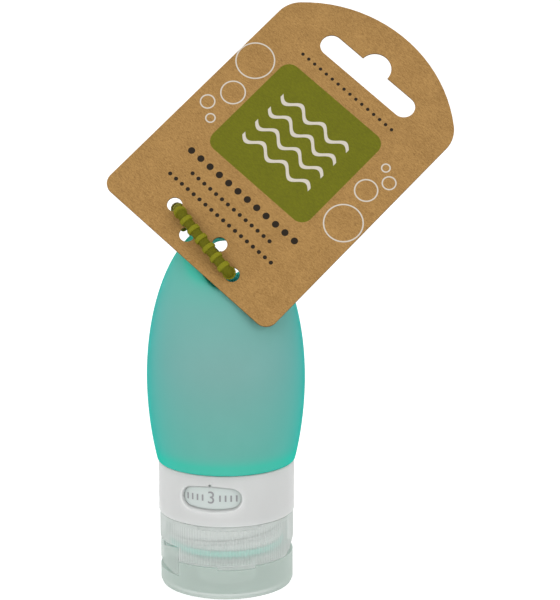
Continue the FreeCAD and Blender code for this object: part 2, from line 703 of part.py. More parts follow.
for item in doc.Objects:
    if "Invalid" in item.State or "Error" in item.State:
        raise RuntimeError("%s did not build: %s" % (item.Name, item.State))
for item in parts:
    if item.Shape.isNull() or not item.Shape.isValid():
        raise RuntimeError("%s has no valid solid" % item.Label)

os.makedirs("parts", exist_ok=True)
for item in parts:
    item.Shape.exportStep("parts/%s.step" % item.Label)
    print(item.Label, "solids", len(item.Shape.Solids), "volume", round(item.Shape.Volume, 1))
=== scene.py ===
import math

import bpy
import numpy
from mathutils import Euler, Matrix, Vector
from mathutils.bvhtree import BVHTree


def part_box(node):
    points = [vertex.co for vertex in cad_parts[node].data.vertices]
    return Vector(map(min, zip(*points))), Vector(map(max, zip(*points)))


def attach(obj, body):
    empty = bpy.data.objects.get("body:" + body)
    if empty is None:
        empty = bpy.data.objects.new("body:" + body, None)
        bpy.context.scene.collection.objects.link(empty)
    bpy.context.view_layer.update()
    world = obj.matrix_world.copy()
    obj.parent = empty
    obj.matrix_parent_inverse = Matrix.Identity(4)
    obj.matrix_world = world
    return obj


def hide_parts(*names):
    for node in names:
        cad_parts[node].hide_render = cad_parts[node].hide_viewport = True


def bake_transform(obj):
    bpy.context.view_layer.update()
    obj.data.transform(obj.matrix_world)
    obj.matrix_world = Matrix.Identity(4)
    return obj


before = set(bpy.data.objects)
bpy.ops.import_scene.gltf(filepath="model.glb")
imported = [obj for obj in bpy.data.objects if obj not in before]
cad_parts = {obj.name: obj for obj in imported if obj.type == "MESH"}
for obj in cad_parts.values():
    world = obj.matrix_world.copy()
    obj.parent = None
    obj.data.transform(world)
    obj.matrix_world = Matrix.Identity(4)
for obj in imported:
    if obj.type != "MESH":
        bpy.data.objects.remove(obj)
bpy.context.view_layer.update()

MM = 0.001

# Silicone bottle: one soft teal moulding with a full belly, drawn in to a flat tip with a hang hole.
# It is cast in liquid silicone rubber with a frosted skin, so light wanders through its 2 mm wall.
# Its neck and turned-out lip pass through the white collar into the cap.
BELLY_HEIGHT = 50.4 * MM
FLANK_RADIUS = 86.0 * MM
BODY_FOOT = 30.45 * MM
FOOT_ROUND = 0.2 * MM
# The foot and tip fades paint a glow into the silicone's colour: a deeper, brighter teal where the wall is
# no thicker.
FOOT_FADE = 26.0 * MM
FOOT_GLOW = 0.25
TIP_FADE = 20.0 * MM
TIP_GLOW = 0.3
FOOT_STEPS = 5
NECK_RADIUS = 11.2 * MM
NECK_BORE = 9.7 * MM
LIP_RADIUS = 13.6 * MM
LIP_TOP = 11.3 * MM
BODY_WALL = 2.0 * MM
TIP_WALL = 4.0 * MM
NOSE_HALF = 3.0 * MM
NOSE_WALL = 1.8 * MM
NOSE_POWER = 12
FLOOR_LOW = 32.05 * MM
FLOOR_HIGH = 34.65 * MM
HANG_DROP = 9.9 * MM
HANG_RADIUS = 5.2 * MM
HANG_RING = 2.4 * MM
SKIN_STEP = 0.45 * MM
SKIN_PASSES = 6
WALL_LIMIT = 7.0 * MM
WALL_PASSES = 30
RING_SIDES = 96
DOME_RINGS = 36
FLANK_RINGS = 14
SAME_PLACE = 0.001 * MM
THIN_WALL = 0.3
DEEP_WALL = 0.8
TEAL_THIN = (0.38, 0.44, 0.42, 1)
TEAL_DEEP = (0.16, 0.56, 0.45, 1)
SMOOTH_ANGLE = math.radians(40)
GRAIN_DEPTH = 0.05 * MM
GRAIN_DETAIL = 3.0
SILICONE_IOR = 1.41
SILICONE_SPECULAR = 0.12
COAT_ROUGHNESS = 0.6
COAT_IOR = 1.02
COAT_TINT = (0.56, 0.97, 0.95, 1)

body_low, body_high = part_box("silicone_body")
belly_radius = body_high.x
hang_height = body_high.z - HANG_DROP


def select_only(piece):
    bpy.ops.object.select_all(action="DESELECT")
    piece.select_set(True)
    bpy.context.view_layer.objects.active = piece


def stack_rings(name, rings, sides=RING_SIDES, closed=False):
    """Skin through level ellipses (half width, half depth, height), capped or joined end to end."""
    bpy.ops.object.select_all(action="DESELECT")
    bpy.ops.mesh.primitive_circle_add(vertices=sides, radius=1.0, fill_type="NOTHING" if closed else "NGON")
    piece = bpy.context.object
    piece.name = piece.data.name = name
    bpy.ops.object.mode_set(mode="EDIT")
    bpy.ops.mesh.select_all(action="SELECT")
    width, depth, height = rings[0]
    bpy.ops.transform.resize(value=(width, depth, 1), center_override=(0, 0, 0))
    bpy.ops.transform.translate(value=(0, 0, height))
    following = rings[1:] + rings[:1] if closed else rings[1:]
    for before, after in zip(rings, following):
        bpy.ops.mesh.extrude_region_move(TRANSFORM_OT_translate={"value": (0, 0, after[2] - before[2])})
        stretch = (after[0] / before[0], after[1] / before[1], 1)
        bpy.ops.transform.resize(value=stretch, center_override=(0, 0, after[2]))
    bpy.ops.mesh.select_all(action="SELECT")
    bpy.ops.mesh.remove_doubles(threshold=SAME_PLACE)
    bpy.ops.mesh.normals_make_consistent(inside=False)
    bpy.ops.object.mode_set(mode="OBJECT")
    return piece


def dome_rings(radius, height, nose):
    """Ellipses from the round belly to the flattened tip."""
    rings = []
    for index in range(1, DOME_RINGS):
        share = math.sin(index / DOME_RINGS * math.pi / 2)
        half_width = radius * math.sqrt(1 - share ** 2)
        half_depth = (radius - nose) * (1 - share ** 2) ** 2 + nose * math.sqrt(1 - share ** NOSE_POWER)
        rings.append((half_width, half_depth, BELLY_HEIGHT + height * share))
    return rings


def flank_rings(low, arc):
    """Rings up the bowed flank, from a height to the belly."""
    rings = []
    for index in range(FLANK_RINGS + 1):
        height = low + (BELLY_HEIGHT - low) * index / FLANK_RINGS
        radius = belly_radius - FLANK_RADIUS + math.sqrt(arc ** 2 - (BELLY_HEIGHT - height) ** 2)
        rings.append((radius, radius, height))
    return rings


def round_ring(radius, height):
    return (radius, radius, height)


def cylinder_along_y(name, radius):
    """Cutter through the tip, across the flat."""
    bpy.ops.object.select_all(action="DESELECT")
    bpy.ops.mesh.primitive_cylinder_add(vertices=RING_SIDES, radius=radius, depth=belly_radius * 3,
                                        location=(0, 0, hang_height), rotation=(math.pi / 2, 0, 0))
    bpy.ops.object.transform_apply(location=True, rotation=True, scale=True)
    bpy.context.object.name = name
    return bpy.context.object


def carve(piece, cutter):
    """Take one solid out of another and clear the cutter away."""
    select_only(piece)
    modifier = piece.modifiers.new("carve", "BOOLEAN")
    modifier.solver = "EXACT"
    modifier.object = cutter
    bpy.ops.object.modifier_apply(modifier=modifier.name)
    bpy.data.objects.remove(cutter)


skirt = flank_rings(BODY_FOOT + FOOT_ROUND, FLANK_RADIUS)
foot_radius = skirt[0][0]
foot_turn = []
for step in range(FOOT_STEPS):
    angle = step / FOOT_STEPS * math.pi / 2
    foot_turn.append(round_ring(foot_radius - FOOT_ROUND * (1 - math.sin(angle)),
                                BODY_FOOT + FOOT_ROUND * (1 - math.cos(angle))))
outer = [
    round_ring(LIP_RADIUS, body_low.z), round_ring(LIP_RADIUS, LIP_TOP),
    round_ring(NECK_RADIUS, LIP_TOP), round_ring(NECK_RADIUS, BODY_FOOT)]
outer += foot_turn + skirt
outer += dome_rings(belly_radius, body_high.z - BELLY_HEIGHT, NOSE_HALF)
outer.append((NOSE_HALF / 4, NOSE_HALF / 4, body_high.z))
bottle = stack_rings("silicone_bottle", outer)
inner = [round_ring(NECK_BORE, body_low.z - BODY_WALL), round_ring(NECK_BORE, FLOOR_LOW)]
inner += flank_rings(FLOOR_HIGH, FLANK_RADIUS - BODY_WALL)
inner += dome_rings(belly_radius - BODY_WALL, body_high.z - BELLY_HEIGHT - TIP_WALL, NOSE_HALF - NOSE_WALL)
hollow = stack_rings("hollow", inner)
carve(hollow, cylinder_along_y("tunnel", HANG_RADIUS + HANG_RING))
carve(bottle, hollow)
carve(bottle, cylinder_along_y("hang_hole", HANG_RADIUS))
select_only(bottle)
even = bottle.modifiers.new("even_skin", "REMESH")
even.mode = "VOXEL"
even.voxel_size = SKIN_STEP
bpy.ops.object.modifier_apply(modifier=even.name)
soft = bottle.modifiers.new("soft_edges", "SMOOTH")
soft.iterations = SKIN_PASSES
bpy.ops.object.modifier_apply(modifier=soft.name)
bpy.ops.object.shade_smooth()


def store_wall(piece):
    """Keep how deep the silicone looks under each point of its skin, with painted glow added towards the
    foot and the tip, evened out as light does.
    """
    skin = BVHTree.FromObject(piece, bpy.context.evaluated_depsgraph_get())
    walls = numpy.empty(len(piece.data.vertices))
    for vertex in piece.data.vertices:
        depth = skin.ray_cast(vertex.co - vertex.normal * SAME_PLACE, -vertex.normal, WALL_LIMIT)[3]
        walls[vertex.index] = 1.0 if depth is None else depth / WALL_LIMIT
        # Painted glow: extra depth, and so a deeper, brighter teal, towards the foot and the tip, beyond
        # what the wall's thickness gives.
        foot = max(0.0, 1 - (vertex.co.z - BODY_FOOT) / FOOT_FADE)
        tip = max(0.0, 1 - (body_high.z - vertex.co.z) / TIP_FADE)
        walls[vertex.index] += FOOT_GLOW * foot + TIP_GLOW * tip
    ends = numpy.empty(len(piece.data.edges) * 2, dtype=int)
    piece.data.edges.foreach_get("vertices", ends)
    first, second = ends[0::2], ends[1::2]
    shares = numpy.bincount(ends, minlength=len(walls))
    for smoothing in range(WALL_PASSES):
        around = numpy.bincount(first, walls[second], len(walls))
        around += numpy.bincount(second, walls[first], len(walls))
        walls = (walls + around / shares) / 2
    piece.data.attributes.new("wall", "FLOAT", "POINT").data.foreach_set("value", walls)


store_wall(bottle)


def moulded_skin():
    """Fine matte grain of a moulded surface: a height and a roughness that both follow one noise."""
    group = bpy.data.node_groups.new("moulded_skin", "ShaderNodeTree")
    for name, value in (("Grain", 2500.0), ("Roughness", 0.45), ("Spread", 0.1)):
        socket = group.interface.new_socket(name, in_out="INPUT", socket_type="NodeSocketFloat")
        socket.default_value = value
    for name in ("Roughness", "Height"):
        group.interface.new_socket(name, in_out="OUTPUT", socket_type="NodeSocketFloat")
    nodes, links = group.nodes, group.links
    entry, leave = nodes.new("NodeGroupInput"), nodes.new("NodeGroupOutput")
    place = nodes.new("ShaderNodeTexCoord")
    noise = nodes.new("ShaderNodeTexNoise")
    noise.inputs["Detail"].default_value = GRAIN_DETAIL
    links.new(place.outputs["Object"], noise.inputs["Vector"])
    links.new(entry.outputs["Grain"], noise.inputs["Scale"])
    offset = nodes.new("ShaderNodeMath")
    offset.operation = "SUBTRACT"
    offset.inputs[1].default_value = 0.5
    links.new(noise.outputs["Fac"], offset.inputs[0])
    spread = nodes.new("ShaderNodeMath")
    spread.operation = "MULTIPLY_ADD"
    links.new(offset.outputs[0], spread.inputs[0])
    links.new(entry.outputs["Spread"], spread.inputs[1])
    links.new(entry.outputs["Roughness"], spread.inputs[2])
    links.new(spread.outputs[0], leave.inputs["Roughness"])
    links.new(noise.outputs["Fac"], leave.inputs["Height"])
    return group


skin_group = moulded_skin()


def moulded_material(name, grain, roughness, spread, bump):
    """Material with a moulded skin; its colour and depth are set by the piece."""
    material = bpy.data.materials.new(name)
    material.use_nodes = True
    nodes, links = material.node_tree.nodes, material.node_tree.links
    shader = nodes["Principled BSDF"]
    skin = nodes.new("ShaderNodeGroup")
    skin.node_tree = skin_group
    skin.inputs["Grain"].default_value = grain
    skin.inputs["Roughness"].default_value = roughness
    skin.inputs["Spread"].default_value = spread
    relief = nodes.new("ShaderNodeBump")
    relief.inputs["Strength"].default_value = bump
    relief.inputs["Distance"].default_value = GRAIN_DEPTH
    links.new(skin.outputs["Height"], relief.inputs["Height"])
    links.new(relief.outputs["Normal"], shader.inputs["Normal"])
    links.new(skin.outputs["Roughness"], shader.inputs["Roughness"])
    return material, shader


def scatter(shader, weight, reach):
    """Let light wander under the surface, as far as its reach in each colour alike."""
    shader.inputs["Subsurface Weight"].default_value = weight
    shader.inputs["Subsurface Radius"].default_value = (1, 1, 1)
    shader.inputs["Subsurface Scale"].default_value = reach


def mixed(tree, mask, below, above):
    """Colour that goes from one to the other with a mask."""
    node = tree.nodes.new("ShaderNodeMix")
    node.data_type = "RGBA"
    tree.links.new(mask, node.inputs["Factor"])
    for socket, colour in ((node.inputs[6], below), (node.inputs[7], above)):
        if isinstance(colour, tuple):
            socket.default_value = colour
        else:
            tree.links.new(colour, socket)
    return node.outputs[2]


def dress(piece, material, body, slot, *nodes):
    """Give a finished piece its material, the body that carries it and the solids that it stands for."""
    piece.data.materials.clear()
    piece.data.materials.append(material)
    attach(piece, body)
    if nodes:
        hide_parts(*nodes)


silicone, shader = moulded_material("silicone", grain=1800.0, roughness=0.5, spread=0.1, bump=0.15)
tree = silicone.node_tree
wall = tree.nodes.new("ShaderNodeAttribute")
wall.attribute_name = "wall"
deep = tree.nodes.new("ShaderNodeMapRange")
deep.inputs["From Min"].default_value = THIN_WALL
deep.inputs["From Max"].default_value = DEEP_WALL
tree.links.new(wall.outputs["Fac"], deep.inputs["Value"])
# Pale teal on thin walls and deep teal on thick ones, as tinted silicone is, with the painted glow of the
# foot and tip in the same mix.
tree.links.new(mixed(tree, deep.outputs["Result"], TEAL_THIN, TEAL_DEEP), shader.inputs["Base Color"])
scatter(shader, weight=1.0, reach=3.0 * MM)
shader.inputs["IOR"].default_value = SILICONE_IOR
shader.inputs["Specular IOR Level"].default_value = SILICONE_SPECULAR
shader.inputs["Coat Weight"].default_value = 1.0
shader.inputs["Coat Roughness"].default_value = COAT_ROUGHNESS
shader.inputs["Coat IOR"].default_value = COAT_IOR
shader.inputs["Coat Tint"].default_value = COAT_TINT
dress(bottle, silicone, "bottle", "silicone", "silicone_body")

# Collar sleeve: rigid white ring round the soft neck, with a flange above and a snap bead for the band.
# It is injection moulded in milky polypropylene, with a two-start thread for the cap on its stub.
COLLAR_BORE = 11.3 * MM
COLLAR_RADIUS = 13.2 * MM
BEAD_RADIUS = 14.3 * MM
BEAD_LOW = 17.5 * MM
BEAD_HIGH = 18.0 * MM
FLANGE_LOW = 29.2 * MM
THREAD_CREST = 13.7 * MM
THREAD_ROOT = 13.0 * MM
THREAD_FOOT = 12.0 * MM
THREAD_HALF = 0.55 * MM
THREAD_LEAD = 6.0 * MM
THREAD_TURNS = 0.55
THREAD_STARTS = 2
THREAD_STEPS = 48
EASED = 0.15 * MM
SHARP_ANGLE = math.radians(35)
# Painted light: the collar takes a brighter white than the band's polypropylene, so that it shows lighter
# through the frosted cap.
COLLAR_LIT_WHITE = (0.82, 0.83, 0.82, 1)

collar_low, collar_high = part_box("neck_collar")


def ease_edges(piece, width):
    """Small round on every sharp edge, as a mould leaves it."""
    select_only(piece)
    modifier = piece.modifiers.new("eased", "BEVEL")
    modifier.width = width
    modifier.segments = 2
    modifier.limit_method = "ANGLE"
    modifier.angle_limit = SHARP_ANGLE
    bpy.ops.object.modifier_apply(modifier=modifier.name)
    bpy.ops.object.shade_smooth_by_angle(angle=SMOOTH_ANGLE)


def join_pieces(pieces):
    """One object from several, named as the first."""
    select_only(pieces[0])
    for piece in pieces[1:]:
        piece.select_set(True)
    bpy.ops.object.join()
    return pieces[0]


def thread_ridge(start):
    """One start of the thread: a blunt section carried up the stub by a screw."""
    bpy.ops.object.select_all(action="DESELECT")
    bpy.ops.mesh.primitive_plane_add(size=1)
    ridge = bpy.context.object
    ridge.name = "thread_ridge"
    section = ((THREAD_ROOT, -THREAD_HALF), (THREAD_CREST, -THREAD_HALF / 2), (THREAD_ROOT, THREAD_HALF),
               (THREAD_CREST, THREAD_HALF / 2))
    for vertex, (radius, rise) in zip(ridge.data.vertices, section):
        vertex.co = (radius * math.cos(start), radius * math.sin(start), THREAD_FOOT + rise)
    modifier = ridge.modifiers.new("thread", "SCREW")
    modifier.axis = "Z"
    modifier.angle = math.tau * THREAD_TURNS
    modifier.screw_offset = THREAD_LEAD * THREAD_TURNS
    modifier.steps = modifier.render_steps = THREAD_STEPS
    bpy.ops.object.modifier_apply(modifier=modifier.name)
    bpy.ops.object.mode_set(mode="EDIT")
    bpy.ops.mesh.select_all(action="SELECT")
    bpy.ops.mesh.remove_doubles(threshold=SAME_PLACE)
    bpy.ops.mesh.fill_holes(sides=4)
    bpy.ops.mesh.normals_make_consistent(inside=False)
    bpy.ops.object.mode_set(mode="OBJECT")
    return ridge


collar = stack_rings("collar_sleeve", [
    round_ring(COLLAR_BORE, collar_low.z), round_ring(COLLAR_RADIUS, collar_low.z),
    round_ring(COLLAR_RADIUS, BEAD_LOW - (BEAD_RADIUS - COLLAR_RADIUS)), round_ring(BEAD_RADIUS, BEAD_LOW),
    round_ring(BEAD_RADIUS, BEAD_HIGH), round_ring(COLLAR_RADIUS, BEAD_HIGH),
    round_ring(COLLAR_RADIUS, FLANGE_LOW), round_ring(collar_high.x, FLANGE_LOW),
    round_ring(collar_high.x, collar_high.z), round_ring(COLLAR_BORE, collar_high.z)], closed=True)
ease_edges(collar, EASED)
ridges = [thread_ridge(math.tau * start / THREAD_STARTS) for start in range(THREAD_STARTS)]
collar = join_pieces([collar] + ridges)
bpy.ops.object.shade_smooth_by_angle(angle=SMOOTH_ANGLE)


def white_plastic(name, colour):
    """Milky polypropylene in the white it is given."""
    material, shader = moulded_material(name, grain=1500.0, roughness=0.42, spread=0.08, bump=0.1)
    shader.inputs["Base Color"].default_value = colour
    scatter(shader, weight=1.0, reach=4.0 * MM)
    return material


sleeve = white_plastic("collar_polypropylene", COLLAR_LIT_WHITE)
dress(collar, sleeve, "bottle", "collar_white", "neck_collar")

# Label ring: thin pale ring seated on the collar behind the band, with plain numbers to tell bottles apart.
# The numbers and their ticks are pad printed in grey, a sixth of a turn apart.
LABEL_BORE = 13.5 * MM
LABEL_PROUD = 0.25 * MM
LABEL_COUNT = 6
SHOWN_NUMBER = 3
LABEL_ANGLE = math.radians(-12.5)
NUMBER_SIZE = 4.2 * MM
TICK_PITCH = 1.3 * MM
TICK_COUNT = 4
TICK_START = 2.1 * MM
TICK_WIDTH = 0.4 * MM
TICK_HEIGHT = 1.5 * MM
INK_DEPTH = 0.03 * MM
LABEL_MIDDLE = 24.8 * MM
LABEL_PALE = (0.6, 0.66, 0.64, 1)
INK_GREY = (0.28, 0.28, 0.29, 1)

label_low, label_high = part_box("label_ring")
label_radius = label_high.x + LABEL_PROUD
label = stack_rings("label_ring_printed", [
    round_ring(LABEL_BORE, label_low.z), round_ring(label_radius, label_low.z),
    round_ring(label_radius, label_high.z), round_ring(LABEL_BORE, label_high.z)], closed=True)
ease_edges(label, EASED)


def print_on_label(mark, turn):
    """Carry a flat mark (across, up, out) round to its place on the ring."""
    for vertex in mark.data.vertices:
        across, up, out = vertex.co
        angle = turn + across / label_radius
        radius = label_radius + out
        vertex.co = (radius * math.sin(angle), -radius * math.cos(angle), LABEL_MIDDLE + up)


def printed_number(number):
    bpy.ops.object.select_all(action="DESELECT")
    bpy.ops.object.text_add()
    mark = bpy.context.object
    mark.data.body = str(number)
    mark.data.size = NUMBER_SIZE
    mark.data.align_x = "CENTER"
    mark.data.align_y = "CENTER"
    mark.data.extrude = INK_DEPTH
    bpy.ops.object.convert(target="MESH")
    return bpy.context.object


def printed_tick(across):
    bpy.ops.object.select_all(action="DESELECT")
    bpy.ops.mesh.primitive_cube_add(size=1)
    tick = bpy.context.object
    for vertex in tick.data.vertices:
        x, y, z = vertex.co
        vertex.co = (across + x * TICK_WIDTH, y * TICK_HEIGHT, z * INK_DEPTH * 2)
    return tick


marks = []
for index in range(LABEL_COUNT):
    turn = LABEL_ANGLE + math.tau * index / LABEL_COUNT
    flat = [printed_number((SHOWN_NUMBER + index - 1) % LABEL_COUNT + 1)]
    for tick in range(TICK_COUNT):
        for side in (-1, 1):
            flat.append(printed_tick(side * (TICK_START + tick * TICK_PITCH)))
    for mark in flat:
        print_on_label(mark, turn)
    marks += flat
marks = join_pieces(marks)
marks.name = marks.data.name = "label_numbers"

pale, shader = moulded_material("label_pale", grain=1500.0, roughness=0.35, spread=0.08, bump=0.08)
shader.inputs["Base Color"].default_value = LABEL_PALE
scatter(shader, weight=0.5, reach=2.0 * MM)
dress(label, pale, "bottle", "label_white", "label_ring")
ink, shader = moulded_material("grey_ink", grain=2500.0, roughness=0.4, spread=0.15, bump=0.1)
shader.inputs["Base Color"].default_value = INK_GREY
dress(marks, ink, "bottle", "label_white")

# Window band: white ring that turns by hand round the label ring, with a long round-ended window.
# It snaps over the collar's bead by its lip; a notch over the window marks the middle.
BAND_LIP = 14.0 * MM
BAND_LIP_TOP = 18.9 * MM
BAND_BORE = 15.0 * MM
BAND_EDGE = 0.15 * MM
BAND_RIM = 0.1 * MM
BAND_EASED = 0.05 * MM
WINDOW_FLARE = 0.5
WINDOW_HALF = 8.3 * MM
WINDOW_END = 3.25 * MM
NOTCH_RADIUS = 0.4 * MM
WINDOW_SIDES = 50
BAND_WHITE = (0.68, 0.69, 0.68, 1)

band_low, band_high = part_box("window_band")
band_radius = band_high.x
band = stack_rings("window_band_moulded", [
    round_ring(BAND_LIP, band_low.z), round_ring(band_radius - BAND_EDGE, band_low.z),
    round_ring(band_radius, band_low.z + BAND_EDGE), round_ring(band_radius, band_high.z),
    round_ring(band_radius - BAND_RIM, band_high.z + BAND_RIM),
    round_ring(BAND_BORE, band_high.z + BAND_RIM),
    round_ring(BAND_BORE, BAND_LIP_TOP),
    round_ring(BAND_LIP, BAND_LIP_TOP)], sides=RING_SIDES * 2, closed=True)


def stadium_cutter(half_width, end, height, flare=0):
    """Round-ended bar through the band's front, of its size at the skin and wider outwards by the flare."""
    bpy.ops.object.select_all(action="DESELECT")
    bpy.ops.mesh.primitive_cylinder_add(vertices=WINDOW_SIDES, radius=end, depth=band_radius / 2,
                                        location=(0, -band_radius, height), rotation=(math.pi / 2, 0, 0))
    bpy.ops.object.transform_apply(location=True, rotation=True, scale=True)
    cutter = bpy.context.object
    for vertex in cutter.data.vertices:
        growth = 1 - flare * (vertex.co.y + band_radius) / end
        straight = math.copysign(half_width - end, vertex.co.x)
        vertex.co.x = vertex.co.x * growth + straight
        vertex.co.z = height + (vertex.co.z - height) * growth
    return cutter


def turn_about_axis(piece, angle):
    """Turn a piece about the bottle's axis, with the turn kept in its mesh."""
    piece.data.transform(Matrix.Rotation(angle, 4, "Z"))


window = stadium_cutter(WINDOW_HALF, WINDOW_END, LABEL_MIDDLE, WINDOW_FLARE)
turn_about_axis(window, LABEL_ANGLE)
carve(band, window)
notch = stadium_cutter(NOTCH_RADIUS, NOTCH_RADIUS, LABEL_MIDDLE + WINDOW_END)
turn_about_axis(notch, LABEL_ANGLE)
carve(band, notch)
ease_edges(band, BAND_EASED)
white = white_plastic("milky_white", BAND_WHITE)
dress(band, white, "band", "collar_white", "window_band")

# Valve and retainer: a slit disc of soft silicone in the spout, and the moulded ring that holds it there.
# They keep the mesh of their solids, because they are seen only with the lid open.
VALVE_PALE = (0.72, 0.74, 0.72, 1)

rubber, shader = moulded_material("valve_rubber", grain=2500.0, roughness=0.5, spread=0.1, bump=0.1)
shader.inputs["Base Color"].default_value = VALVE_PALE
scatter(shader, weight=0.4, reach=1.0 * MM)
for name, material in (("drip_valve", rubber), ("valve_retainer", white)):
    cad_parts[name].data.materials.clear()
    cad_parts[name].data.materials.append(material)

# Cap base: frosted screw cap with fine grip flutes, a deck and the spout.
# It is moulded in natural polypropylene, so the white stub and the teal lip show through its skirt.
FLUTE_LOW = 8.6 * MM
FLUTE_HIGH = 17.2 * MM
FLUTE_FLOOR = 15.6 * MM
FLUTE_SHARE = 0.35
TAB_ANGLE = math.radians(-80.0)
TAB_HALF = math.radians(16.4)
TAB_LOW = 7.55 * MM
TAB_HIGH = 8.4 * MM
TAB_WALL = 1.1 * MM
TAB_INSET = 0.1 * MM
TAB_COLUMNS = 16
GLANCE_FULL = 0.6
LIGHT_THROUGH = 0.95
FROST_SPECULAR = 0.08
CAP_TINT = (0.555, 0.6, 0.575, 1)

skirt_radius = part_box("cap_base")[1].x


def loose_copy(node, name):
    """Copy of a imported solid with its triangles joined, to be finished further."""
    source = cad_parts[node]
    piece = bpy.data.objects.new(name, source.data.copy())
    bpy.context.scene.collection.objects.link(piece)
    select_only(piece)
    bpy.ops.object.mode_set(mode="EDIT")
    bpy.ops.mesh.select_all(action="SELECT")
    bpy.ops.mesh.remove_doubles(threshold=SAME_PLACE)
    bpy.ops.object.mode_set(mode="OBJECT")
    return piece


def in_flutes(place):
    return FLUTE_LOW < place.z < FLUTE_HIGH and place.xy.length > FLUTE_FLOOR


def curved_wall(name, columns, rows, thickness, bend):
    """Wall bent from a flat grid by each point's shares across and up, and thickened inwards."""
    bpy.ops.object.select_all(action="DESELECT")
    bpy.ops.mesh.primitive_grid_add(x_subdivisions=columns, y_subdivisions=rows, size=2)
    piece = bpy.context.object
    piece.name = piece.data.name = name
    for vertex in piece.data.vertices:
        vertex.co = bend(vertex.co.x, vertex.co.y)
    modifier = piece.modifiers.new("wall", "SOLIDIFY")
    modifier.thickness = thickness
    modifier.offset = -1
    bpy.ops.object.modifier_apply(modifier=modifier.name)
    ease_edges(piece, EASED)
    return piece


def tab_place(across, up):
    """Point of the tab that fills the step in the lid's rim."""
    angle = TAB_ANGLE + across * TAB_HALF
    radius = skirt_radius - TAB_INSET
    height = TAB_LOW + (up + 1) / 2 * (TAB_HIGH - TAB_LOW)
    return (radius * math.cos(angle), radius * math.sin(angle), height)


cap = loose_copy("cap_base", "cap_skirt")
for vertex in cap.data.vertices:
    radius = vertex.co.xy.length
    if in_flutes(vertex.co) and radius < skirt_radius:
        eased = skirt_radius - (skirt_radius - radius) * FLUTE_SHARE
        vertex.co.xy *= eased / radius
bpy.ops.object.shade_smooth_by_angle(angle=SMOOTH_ANGLE)
for face in cap.data.polygons:
    if in_flutes(face.center):
        face.use_smooth = False
cap = join_pieces([cap, curved_wall("thumb_tab", TAB_COLUMNS, 2, TAB_WALL, tab_place)])


def calc(tree, operation, *values):
    """Math node on sockets or plain numbers."""
    node = tree.nodes.new("ShaderNodeMath")
    node.operation = operation
    for socket, value in zip(node.inputs, values):
        if isinstance(value, (int, float)):
            socket.default_value = value
        else:
            tree.links.new(value, socket)
    return node.outputs[0]


def frosted_material(name, colour, facing, rim):
    """Frosted clear plastic: clearest head on, denser along the wall, and most light goes through it."""
    material, shader = moulded_material(name, grain=1500.0, roughness=0.5, spread=0.08, bump=0.1)
    shader.inputs["Base Color"].default_value = colour
    shader.inputs["Specular IOR Level"].default_value = FROST_SPECULAR
    scatter(shader, weight=0.3, reach=1.5 * MM)
    tree = material.node_tree
    glance = tree.nodes.new("ShaderNodeLayerWeight")
    density = tree.nodes.new("ShaderNodeMapRange")
    density.inputs["From Max"].default_value = GLANCE_FULL
    density.inputs["To Min"].default_value = facing
    density.inputs["To Max"].default_value = rim
    tree.links.new(glance.outputs["Facing"], density.inputs["Value"])
    outside = calc(tree, "SUBTRACT", 1, tree.nodes.new("ShaderNodeNewGeometry").outputs["Backfacing"])
    rays = tree.nodes.new("ShaderNodeLightPath")
    light = calc(tree, "MAXIMUM", rays.outputs["Is Shadow Ray"], rays.outputs["Is Diffuse Ray"])
    held = calc(tree, "MULTIPLY_ADD", light, -LIGHT_THROUGH, 1)
    wall = calc(tree, "MULTIPLY", density.outputs["Result"], outside)
    tree.links.new(calc(tree, "MULTIPLY", wall, held), shader.inputs["Alpha"])
    return material


frosted = frosted_material("frosted_cap", CAP_TINT, facing=0.6, rim=0.96)
dress(cap, frosted, "cap", "cap_clear", "cap_base")

# Flip lid: the cap's flat end, which the bottle stands on, with a plug and a guard ring inside.
# It is moulded with the cap, a little milkier where its plate is thick, and given a darker tint than the
# cap: painted shade on the same plastic.
LID_SHADED_TINT = (0.485, 0.565, 0.52, 1)

shaded_lid_frost = frosted_material("frosted_lid", LID_SHADED_TINT, facing=0.7, rim=0.97)
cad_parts["flip_lid"].data.materials.clear()
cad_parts["flip_lid"].data.materials.append(shaded_lid_frost)

# Butterfly hinge: bow-tie strap moulded in one with cap and lid, thin across the fold.
# In use it bends as the lid flips and snaps over centre; here it keeps its closed shape.
BOW_HALF = 9.25 * MM
BOW_END = 3.45 * MM
BOW_HOLLOW = 0.3 * MM
BOW_WAIST = 1.6 * MM
BOW_THICKNESS = 0.75 * MM
BOW_RADIUS = 15.85 * MM
BOW_MIDDLE = 8.15 * MM
BOW_COLUMNS = 48
BOW_ROWS = 28
CAP_CLOCK = math.radians(10.0)
# Painted shade: the hinge takes a darker tint than the cap it is moulded in one with.
HINGE_SHADED_TINT = (0.5, 0.57, 0.53, 1)


def bow_place(across, up):
    """Point of the bow tie, which is narrow at the waist and hollowed at both ends."""
    reach = BOW_WAIST + (BOW_END - BOW_WAIST) * abs(across)
    side = across * (BOW_HALF - BOW_HOLLOW * (1 - up ** 2))
    return (-math.sqrt(BOW_RADIUS ** 2 - side ** 2), -side, BOW_MIDDLE + up * reach)


hinge = curved_wall("hinge_strap", BOW_COLUMNS, BOW_ROWS, BOW_THICKNESS, bow_place)
turn_about_axis(hinge, CAP_CLOCK)
hinge.data.materials.append(frosted_material("frosted_hinge", HINGE_SHADED_TINT, facing=0.5, rim=0.85))
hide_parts("butterfly_hinge")
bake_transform(hinge)

